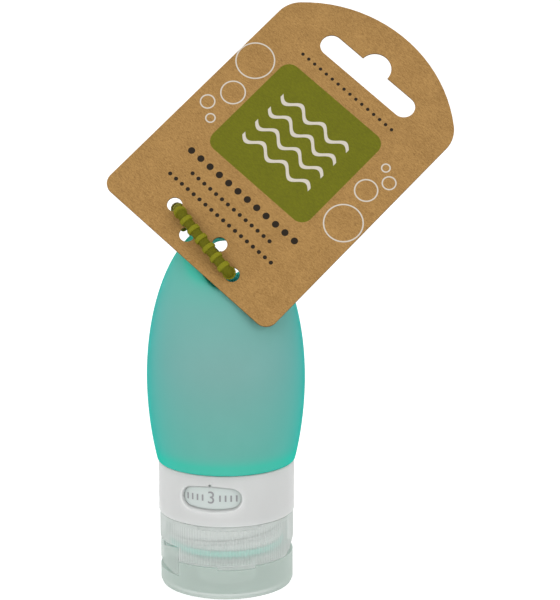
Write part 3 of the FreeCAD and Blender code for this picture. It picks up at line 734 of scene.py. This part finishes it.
# Card tag: die-cut kraft board with a hanging slot and four holes for the tie.
# It is printed on the front only: a green panel with white waves, white rings and rows of dark dots.
TAG_ORIGIN = Vector((-9.576, -6.027, 80.849))
TAG_LEAN = math.radians(60.0)
TAG_TURN = math.radians(-43.1)
CARD_LEFT, CARD_RIGHT, CARD_FOOT, CARD_CROWN = -26.15, 26.85, -0.4, 75.7
CARD_CORNER = 3.0
CARD_SHOULDER = 7.2
CROWN_ACROSS = 0.8
CROWN_RADIUS = 35.5
CARD_THICKNESS = 0.5
CARD_EDGE = 0.07
ARC_STEP = math.radians(4)
SLOT_PLACE = (0.8, 62.35)
SLOT_HALF = 14.3
SLOT_END = 2.75
RISE_HEIGHT = 65.0
RISE_RADIUS = 3.9
TIE_HOLES = ((-10.015, 7.55), (-2.805, 4.15), (4.405, 7.55), (11.615, 4.15))
TIE_HOLE_RADIUS = 1.8
CARD_HALF = 0.2
PANEL_PLACE = (-0.1, 38.2)
PANEL_HALF = (15.7, 14.4)
PANEL_ROUND = 2.9
WAVE_HEIGHTS = (-6.6, -2.2, 2.2, 6.6)
WAVE_HALF = 10.5
WAVE_RISE = 1.1
WAVE_LENGTH = 7.0
WAVE_LINE = 0.5
RING_PLACES = ((-21.4, 47.0, 4.6), (-19.6, 37.4, 2.9), (-22.4, 31.6, 1.7), (-19.0, 29.0, 1.1),
               (21.8, 31.0, 4.6), (20.2, 40.6, 2.7), (22.9, 45.6, 1.6), (19.8, 47.9, 1.0))
RING_LINE = 0.16
DOT_ROWS = ((56.0, 0.42, 1.9, 15.2), (20.0, 0.85, 3.0, 18.0),
            (16.0, 0.5, 1.9, 13.3), (12.4, 0.5, 1.9, 17.1))
PRINT_EDGE = 0.08
KRAFT_DARK = (0.27, 0.145, 0.042, 1)
KRAFT_PALE = (0.46, 0.265, 0.09, 1)
KRAFT_FLECK = (0.17, 0.09, 0.03, 1)
KRAFT_EDGE = (0.16, 0.085, 0.03, 1)
FLECK_LEVEL = 0.66
PANEL_DARK = (0.11, 0.115, 0.004, 1)
PANEL_PALE = (0.16, 0.168, 0.007, 1)
PRINT_WHITE = (0.62, 0.57, 0.5, 1)
PRINT_DARK = (0.02, 0.014, 0.008, 1)
CLOUD_SCALE = (0.2, 0.2, 0.2)
FIBRE_SCALE = (1.6, 6.0, 1.6)
SPECK_SCALE = (4.0, 4.0, 4.0)
FLECK_SCALE = (1.1, 3.2, 1.1)
FIBRE_SHARE, CLOUD_SHARE, SPECK_SHARE, GRAIN_LEVEL = 2.0, 0.6, 1.4, 1.5
FLECK_DEPTH = 0.35
WEAR_SPREAD, WEAR_LEVEL = 0.3, 0.83
CARD_SPECULAR = 0.15
CARD_ROUGHNESS, CARD_SPREAD = 0.65, 0.2
FIBRE_BUMP = 0.25
FIBRE_DEPTH = 0.1 * MM
QUARTER = math.pi / 2


def arc(middle_x, middle_y, radius, start, end):
    """Points round an arc, its ends with them."""
    count = max(2, math.ceil(abs(end - start) / ARC_STEP))
    turns = [start + (end - start) * step / count for step in range(count + 1)]
    return [(middle_x + radius * math.cos(turn), middle_y + radius * math.sin(turn)) for turn in turns]


def card_outline():
    """The card's edge, from its right foot round the bowed top to its left foot."""
    bow_y = CARD_CROWN - CROWN_RADIUS
    shoulders = []
    for side, inward in ((CARD_RIGHT, -1), (CARD_LEFT, 1)):
        x = side + inward * CARD_SHOULDER
        rise = math.sqrt((CROWN_RADIUS - CARD_SHOULDER) ** 2 - (x - CROWN_ACROSS) ** 2)
        shoulders.append((x, bow_y + rise, math.atan2(rise, x - CROWN_ACROSS)))
    (right_x, right_y, right_turn), (left_x, left_y, left_turn) = shoulders
    low = CARD_FOOT + CARD_CORNER
    return (arc(CARD_RIGHT - CARD_CORNER, low, CARD_CORNER, -QUARTER, 0)
            + arc(right_x, right_y, CARD_SHOULDER, 0, right_turn)
            + arc(CROWN_ACROSS, bow_y, CROWN_RADIUS, right_turn, left_turn)[1:-1]
            + arc(left_x, left_y, CARD_SHOULDER, left_turn, math.pi)
            + arc(CARD_LEFT + CARD_CORNER, low, CARD_CORNER, math.pi, 3 * QUARTER))


def flat_plate(name, outline, thickness):
    """Plate of an outline, half its thickness to each side of the level plane."""
    bpy.ops.object.select_all(action="DESELECT")
    bpy.ops.mesh.primitive_circle_add(vertices=len(outline), fill_type="NGON")
    plate = bpy.context.object
    plate.name = plate.data.name = name
    for vertex, (x, y) in zip(plate.data.vertices, outline):
        vertex.co = (x, y, -thickness / 2)
    bpy.ops.object.mode_set(mode="EDIT")
    bpy.ops.mesh.select_all(action="SELECT")
    bpy.ops.mesh.extrude_region_move(TRANSFORM_OT_translate={"value": (0, 0, thickness)})
    bpy.ops.mesh.select_all(action="SELECT")
    bpy.ops.mesh.normals_make_consistent(inside=False)
    bpy.ops.object.mode_set(mode="OBJECT")
    return plate


def round_outline(x, y, radius):
    return arc(x, y, radius, 0, math.tau)[:-1]


straight = SLOT_HALF - SLOT_END
slot_outline = (arc(SLOT_PLACE[0] + straight, SLOT_PLACE[1], SLOT_END, -QUARTER, QUARTER)
                + arc(SLOT_PLACE[0] - straight, SLOT_PLACE[1], SLOT_END, QUARTER, 3 * QUARTER))
cuts = [slot_outline, round_outline(SLOT_PLACE[0], RISE_HEIGHT, RISE_RADIUS)]
cuts += [round_outline(x, y, TIE_HOLE_RADIUS) for x, y in TIE_HOLES]
card = flat_plate("card_tag", card_outline(), CARD_THICKNESS)
for cut in cuts:
    carve(card, flat_plate("card_cut", cut, CARD_THICKNESS * 4))
ease_edges(card, CARD_EDGE)
tag_turn = Matrix.Rotation(TAG_LEAN, 4, "X") @ Matrix.Rotation(TAG_TURN, 4, "Z")
card.data.transform(Matrix.Scale(MM, 4) @ Matrix.Translation(TAG_ORIGIN) @ tag_turn)


def distance_from(tree, x, y):
    return calc(tree, "SQRT", calc(tree, "MULTIPLY_ADD", x, x, calc(tree, "MULTIPLY", y, y)))


def printed(tree, distance, limit):
    """Mask that is 1 where a distance is under a limit, with an edge a little soft as ink on board."""
    slope = calc(tree, "DIVIDE", calc(tree, "SUBTRACT", limit, distance), PRINT_EDGE)
    node = tree.nodes.new("ShaderNodeClamp")
    tree.links.new(calc(tree, "ADD", slope, 0.5), node.inputs["Value"])
    return node.outputs[0]


def noise_on(tree, place, stretch, detail):
    """Noise stretched along the card, from 0 to 1."""
    scale = tree.nodes.new("ShaderNodeVectorMath")
    scale.operation = "MULTIPLY"
    scale.inputs[1].default_value = stretch
    tree.links.new(place, scale.inputs[0])
    noise = tree.nodes.new("ShaderNodeTexNoise")
    noise.inputs["Scale"].default_value = 1.0
    noise.inputs["Detail"].default_value = detail
    tree.links.new(scale.outputs[0], noise.inputs["Vector"])
    return noise.outputs["Fac"]


def largest(tree, masks):
    total = masks[0]
    for mask in masks[1:]:
        total = calc(tree, "MAXIMUM", total, mask)
    return total


def card_material():
    """Kraft board with its print, drawn in the card's own millimetres from the middle of its foot."""
    material = bpy.data.materials.new("kraft_card")
    material.use_nodes = True
    tree = material.node_tree
    shader = tree.nodes["Principled BSDF"]
    place = tree.nodes.new("ShaderNodeTexCoord")
    flat = tree.nodes.new("ShaderNodeMapping")
    turn = Euler((-TAG_LEAN, 0, -TAG_TURN), "XYZ")
    flat.inputs["Scale"].default_value = (1 / MM, 1 / MM, 1 / MM)
    flat.inputs["Rotation"].default_value = turn
    flat.inputs["Location"].default_value = -(turn.to_matrix() @ TAG_ORIGIN)
    tree.links.new(place.outputs["Object"], flat.inputs["Vector"])
    split = tree.nodes.new("ShaderNodeSeparateXYZ")
    tree.links.new(flat.outputs[0], split.inputs[0])
    x, y, z = split.outputs

    cloud = noise_on(tree, flat.outputs[0], CLOUD_SCALE, detail=3.0)
    fibre = noise_on(tree, flat.outputs[0], FIBRE_SCALE, detail=5.0)
    speck = noise_on(tree, flat.outputs[0], SPECK_SCALE, detail=2.0)
    grain = calc(tree, "MULTIPLY", speck, SPECK_SHARE)
    grain = calc(tree, "MULTIPLY_ADD", cloud, CLOUD_SHARE, grain)
    grain = calc(tree, "MULTIPLY_ADD", fibre, FIBRE_SHARE, grain)
    grain = calc(tree, "SUBTRACT", grain, GRAIN_LEVEL)
    kraft = mixed(tree, grain, KRAFT_DARK, KRAFT_PALE)
    fleck = noise_on(tree, flat.outputs[0], FLECK_SCALE, detail=1.0)
    flecks = calc(tree, "MULTIPLY", printed(tree, FLECK_LEVEL, fleck), FLECK_DEPTH)
    kraft = mixed(tree, flecks, kraft, KRAFT_FLECK)
    green = mixed(tree, grain, PANEL_DARK, PANEL_PALE)

    over = []
    for axis, middle, half in zip((x, y), PANEL_PLACE, PANEL_HALF):
        beyond = calc(tree, "SUBTRACT", calc(tree, "ABSOLUTE", calc(tree, "SUBTRACT", axis, middle)),
                      half - PANEL_ROUND)
        over.append(calc(tree, "MAXIMUM", beyond, 0.0))
    panel = printed(tree, distance_from(tree, *over), PANEL_ROUND)

    across = calc(tree, "SUBTRACT", x, PANEL_PLACE[0])
    swell = calc(tree, "SINE", calc(tree, "MULTIPLY", across, math.tau / WAVE_LENGTH))
    level = calc(tree, "MULTIPLY_ADD", swell, -WAVE_RISE, calc(tree, "SUBTRACT", y, PANEL_PLACE[1]))
    lines = [printed(tree, calc(tree, "ABSOLUTE", calc(tree, "SUBTRACT", level, height)), WAVE_LINE)
             for height in WAVE_HEIGHTS]
    waves = calc(tree, "MULTIPLY", largest(tree, lines),
                 printed(tree, calc(tree, "ABSOLUTE", across), WAVE_HALF))

    rings = []
    for middle_x, middle_y, radius in RING_PLACES:
        away = distance_from(tree, calc(tree, "SUBTRACT", x, middle_x), calc(tree, "SUBTRACT", y, middle_y))
        rings.append(printed(tree, calc(tree, "ABSOLUTE", calc(tree, "SUBTRACT", away, radius)), RING_LINE))
    white_print = calc(tree, "MAXIMUM", waves, largest(tree, rings))

    rows = []
    for height, radius, pitch, reach in DOT_ROWS:
        beside = calc(tree, "MULTIPLY", calc(tree, "SUBTRACT", calc(tree, "FRACT", calc(
            tree, "DIVIDE", x, pitch)), 0.5), pitch)
        away = distance_from(tree, beside, calc(tree, "SUBTRACT", y, height))
        within = printed(tree, calc(tree, "ABSOLUTE", x), reach)
        rows.append(calc(tree, "MULTIPLY", printed(tree, away, radius), within))

    front = calc(tree, "GREATER_THAN", z, CARD_HALF)
    edge = calc(tree, "LESS_THAN", calc(tree, "ABSOLUTE", z), CARD_HALF)
    worn = calc(tree, "MULTIPLY_ADD", speck, WEAR_SPREAD, WEAR_LEVEL)
    colour = mixed(tree, calc(tree, "MULTIPLY", calc(tree, "MULTIPLY", panel, front), worn), kraft, green)
    colour = mixed(tree, calc(tree, "MULTIPLY", calc(tree, "MULTIPLY", white_print, front), worn),
                   colour, PRINT_WHITE)
    colour = mixed(tree, calc(tree, "MULTIPLY", largest(tree, rows), front), colour, PRINT_DARK)
    colour = mixed(tree, edge, colour, KRAFT_EDGE)
    tree.links.new(colour, shader.inputs["Base Color"])
    shader.inputs["Specular IOR Level"].default_value = CARD_SPECULAR
    rough = calc(tree, "MULTIPLY_ADD", grain, CARD_SPREAD, CARD_ROUGHNESS)
    tree.links.new(rough, shader.inputs["Roughness"])
    relief = tree.nodes.new("ShaderNodeBump")
    relief.inputs["Strength"].default_value = FIBRE_BUMP
    relief.inputs["Distance"].default_value = FIBRE_DEPTH
    tree.links.new(fibre, relief.inputs["Height"])
    tree.links.new(relief.outputs["Normal"], shader.inputs["Normal"])
    return material


dress(card, card_material(), "tag", "card", "hang_tag")

# Ribbed tie: olive silicone strap threaded through the card's end holes and the hang hole.
# It is moulded with ribs about 2.9 mm apart, so that its head, behind the tip, grips it like a cable tie.
TIE_ROUTE = ((-7.3, 6.28, 84.0), (-12.2, 6.28, 89.7), (-10.7, 2.1, 90.2), (-10.5, -2.75, 90.35),
             (-8.1, -4.3, 87.6), (-1.4, -8.65, 80.1), (1.1, -10.3, 77.3), (1.1, -6.3, 76.8),
             (0.8, -1.7, 75.7), (0.5, 6.28, 75.3), (-4.8, 6.28, 81.1))
TIE_BACK = (9, 1)
TIE_CORE = 1.22 * MM
TIE_RIB = 1.55 * MM
RIB_HALF = 0.55 * MM
RIB_EDGE = 0.16 * MM
RIB_PITCH = 2.9 * MM
RIB_START = 0.62
TIE_STEP = 0.12 * MM
TIE_SIDES = 5
ROUTE_DETAIL = 24
HEAD_SIZE = (4.6 * MM, 4.4 * MM, 7.4 * MM)
HEAD_EDGE = 0.9 * MM
HEAD_BACK = 3.4 * MM
TAIL_STEP = 3.5 * MM
TAIL_LENGTH = 9.3 * MM
# Painted light: the strap is one olive silicone, shown lighter on the ribs and darker on the core between
# them, where shade falls.
OLIVE_CORE_SHADE = (0.125, 0.12, 0.006, 1)
OLIVE_RIB_LIT = (0.22, 0.212, 0.012, 1)
OLIVE_SPECULAR = 0.05


def route_points():
    """Points along the strap's smooth closed line, read from its spline."""
    curve = bpy.data.curves.new("tie_route", "CURVE")
    curve.dimensions = "3D"
    spline = curve.splines.new("NURBS")
    spline.points.add(len(TIE_ROUTE) - 1)
    for point, place in zip(spline.points, TIE_ROUTE):
        point.co = (*(Vector(place) * MM), 1)
    spline.use_cyclic_u = True
    spline.order_u = 3
    spline.resolution_u = ROUTE_DETAIL
    route = bpy.data.objects.new("tie_route", curve)
    line = bpy.data.meshes.new_from_object(route)
    points = [vertex.co.copy() for vertex in line.vertices]
    bpy.data.objects.remove(route)
    return points


def spaced(points, closed):
    """The same line in short even steps, with the length so far at each."""
    if closed:
        points = points + points[:1]
    travelled, steps = 0.0, []
    for start, end in zip(points, points[1:]):
        run = (end - start).length
        while len(steps) * TIE_STEP < travelled + run:
            along = len(steps) * TIE_STEP
            steps.append((start.lerp(end, (along - travelled) / run), along))
        travelled += run
    return steps


def ribbed_tube(name, points, closed):
    """Round strap whose radius swells at each rib."""
    steps = spaced(points, closed)
    length = len(steps) * TIE_STEP
    pitch = length / round(length / RIB_PITCH) if closed else RIB_PITCH
    curve = bpy.data.curves.new(name, "CURVE")
    curve.dimensions = "3D"
    curve.bevel_depth = 1.0
    curve.bevel_resolution = TIE_SIDES
    spline = curve.splines.new("POLY")
    spline.points.add(len(steps) - 1)
    spline.use_cyclic_u = closed
    rises = []
    for point, (place, along) in zip(spline.points, steps):
        from_rib = abs((along / pitch + RIB_START) % 1 - 0.5) * pitch
        rise = min(max((RIB_HALF - from_rib) / RIB_EDGE + 0.5, 0), 1)
        rises.append(rise * rise * (3 - 2 * rise))
        point.co = (*place, 1)
        point.radius = TIE_CORE + (TIE_RIB - TIE_CORE) * rises[-1]
    tube = bpy.data.objects.new(name, curve)
    bpy.context.scene.collection.objects.link(tube)
    select_only(tube)
    bpy.ops.object.convert(target="MESH")
    tube = bpy.context.object
    sides = len(tube.data.vertices) // len(steps)
    # The rib profile is stored too, as the mask of the painted light on the ribs and the shade between
    # them.
    rib = tube.data.attributes.new("rib", "FLOAT", "POINT")
    rib.data.foreach_set("value", numpy.repeat(rises, sides))
    if not closed:
        bpy.ops.object.mode_set(mode="EDIT")
        bpy.ops.mesh.select_all(action="SELECT")
        bpy.ops.mesh.fill_holes(sides=0)
        bpy.ops.mesh.normals_make_consistent(inside=False)
        bpy.ops.object.mode_set(mode="OBJECT")
    return tube


strap = ribbed_tube("tie_strap", route_points(), closed=True)
back_start, back_end = [Vector(TIE_ROUTE[index]) * MM for index in TIE_BACK]
run = (back_end - back_start).normalized()
outward = Vector((0, 1, 0))
head_place = back_end - run * HEAD_BACK
tail_start = head_place + outward * TAIL_STEP
tail = ribbed_tube("tie_tail", [tail_start, tail_start - run * TAIL_LENGTH], closed=False)
bpy.ops.object.select_all(action="DESELECT")
bpy.ops.mesh.primitive_cube_add(size=1)
head = bpy.context.object
head.name = "tie_head"
length, width, depth = HEAD_SIZE
head.data.transform(Matrix.Diagonal((length, width, depth, 1)))
head.data.transform(Matrix.Translation((0, 0, depth / 2 - width / 2)))
turn = Matrix((run, outward.cross(run), outward)).transposed()
head.data.transform(Matrix.Translation(head_place) @ turn.to_4x4())
select_only(head)
rounding = head.modifiers.new("rounded", "BEVEL")
rounding.width = HEAD_EDGE
rounding.segments = 4
bpy.ops.object.modifier_apply(modifier=rounding.name)
tie = join_pieces([strap, tail, head])
tie.name = tie.data.name = "ribbed_tie"
bpy.ops.object.shade_smooth_by_angle(angle=SMOOTH_ANGLE)

olive, shader = moulded_material("olive_silicone", grain=2200.0, roughness=0.5, spread=0.12, bump=0.15)
tree = olive.node_tree
rib = tree.nodes.new("ShaderNodeAttribute")
rib.attribute_name = "rib"
# Lighter olive on the ribs, darker on the core between them: painted light and shade on one colour.
tree.links.new(mixed(tree, rib.outputs["Fac"], OLIVE_CORE_SHADE, OLIVE_RIB_LIT), shader.inputs["Base Color"])
shader.inputs["Specular IOR Level"].default_value = OLIVE_SPECULAR
scatter(shader, weight=0.25, reach=0.6 * MM)
dress(tie, olive, "tag", "tie_olive", "tag_tie")

# Studio: white paper floor, soft light from all round, and a camera a little above the bottle.
# The background is white to the camera and in reflections, and lights the bottle at a plain level.
FLOOR_HALF = 6.0
FLOOR_WHITE = (0.8, 0.8, 0.8, 1)
FLOOR_ROUGHNESS = 0.9
FLOOR_GLOW = 0.5
SKY_LIGHT = 0.8
LIGHT_AIM = (0, 0, 0.06)
LIGHT_SIZE = 0.5


def seen_background(tree):
    """1 where the background is seen straight, in a reflection or through a clear piece."""
    rays = tree.nodes.new("ShaderNodeLightPath")
    seen = calc(tree, "MAXIMUM", rays.outputs["Is Camera Ray"], rays.outputs["Is Glossy Ray"])
    return calc(tree, "MAXIMUM", seen, rays.outputs["Is Transmission Ray"])


bpy.ops.object.select_all(action="DESELECT")
bpy.ops.mesh.primitive_plane_add(size=FLOOR_HALF * 2)
floor = bpy.context.object
floor.name = "floor"
paper = bpy.data.materials.new("white_paper")
paper.use_nodes = True
nodes, links = paper.node_tree.nodes, paper.node_tree.links
shader = nodes["Principled BSDF"]
shader.inputs["Base Color"].default_value = FLOOR_WHITE
shader.inputs["Roughness"].default_value = FLOOR_ROUGHNESS
shader.inputs["Emission Color"].default_value = (1, 1, 1, 1)
shown = seen_background(paper.node_tree)
links.new(calc(paper.node_tree, "MULTIPLY", shown, FLOOR_GLOW), shader.inputs["Emission Strength"])
floor.data.materials.append(paper)

world = bpy.data.worlds.new("studio")
bpy.context.scene.world = world
world.use_nodes = True
sky = world.node_tree.nodes["Background"]
sky.inputs["Color"].default_value = (1, 1, 1, 1)
shown = seen_background(world.node_tree)
world.node_tree.links.new(calc(world.node_tree, "MULTIPLY_ADD", shown, 1 - SKY_LIGHT, SKY_LIGHT),
                          sky.inputs["Strength"])


def soft_light(name, place, power):
    bpy.ops.object.light_add(type="AREA", location=place)
    light = bpy.context.object
    light.name = name
    light.data.shape = "DISK"
    light.data.size = LIGHT_SIZE
    light.data.energy = power
    light.rotation_euler = (Vector(LIGHT_AIM) - Vector(place)).to_track_quat("-Z", "Y").to_euler()


soft_light("front_left", place=(-0.5, -0.6, 0.4), power=1.8)
soft_light("front_right", place=(0.6, -0.5, 0.3), power=1.3)

CAMERA_AIM = Vector((0.0128, 0.0, 0.0689))
CAMERA_DISTANCE = 0.494
CAMERA_ELEVATION = math.radians(12.0)
CAMERA_LENS = 126.0
CAMERA_SENSOR = 36.0
CAMERA_NEAR = 0.01
back = Vector((0, -math.cos(CAMERA_ELEVATION), math.sin(CAMERA_ELEVATION)))
bpy.ops.object.camera_add(location=CAMERA_AIM + back * CAMERA_DISTANCE)
camera = bpy.context.object
camera.rotation_euler = (-back).to_track_quat("-Z", "Y").to_euler()
camera.data.lens = CAMERA_LENS
camera.data.sensor_width = CAMERA_SENSOR
camera.data.clip_start = CAMERA_NEAR
camera.data.dof.use_dof = False
bpy.context.scene.camera = camera
bpy.context.scene.view_settings.view_transform = "Standard"
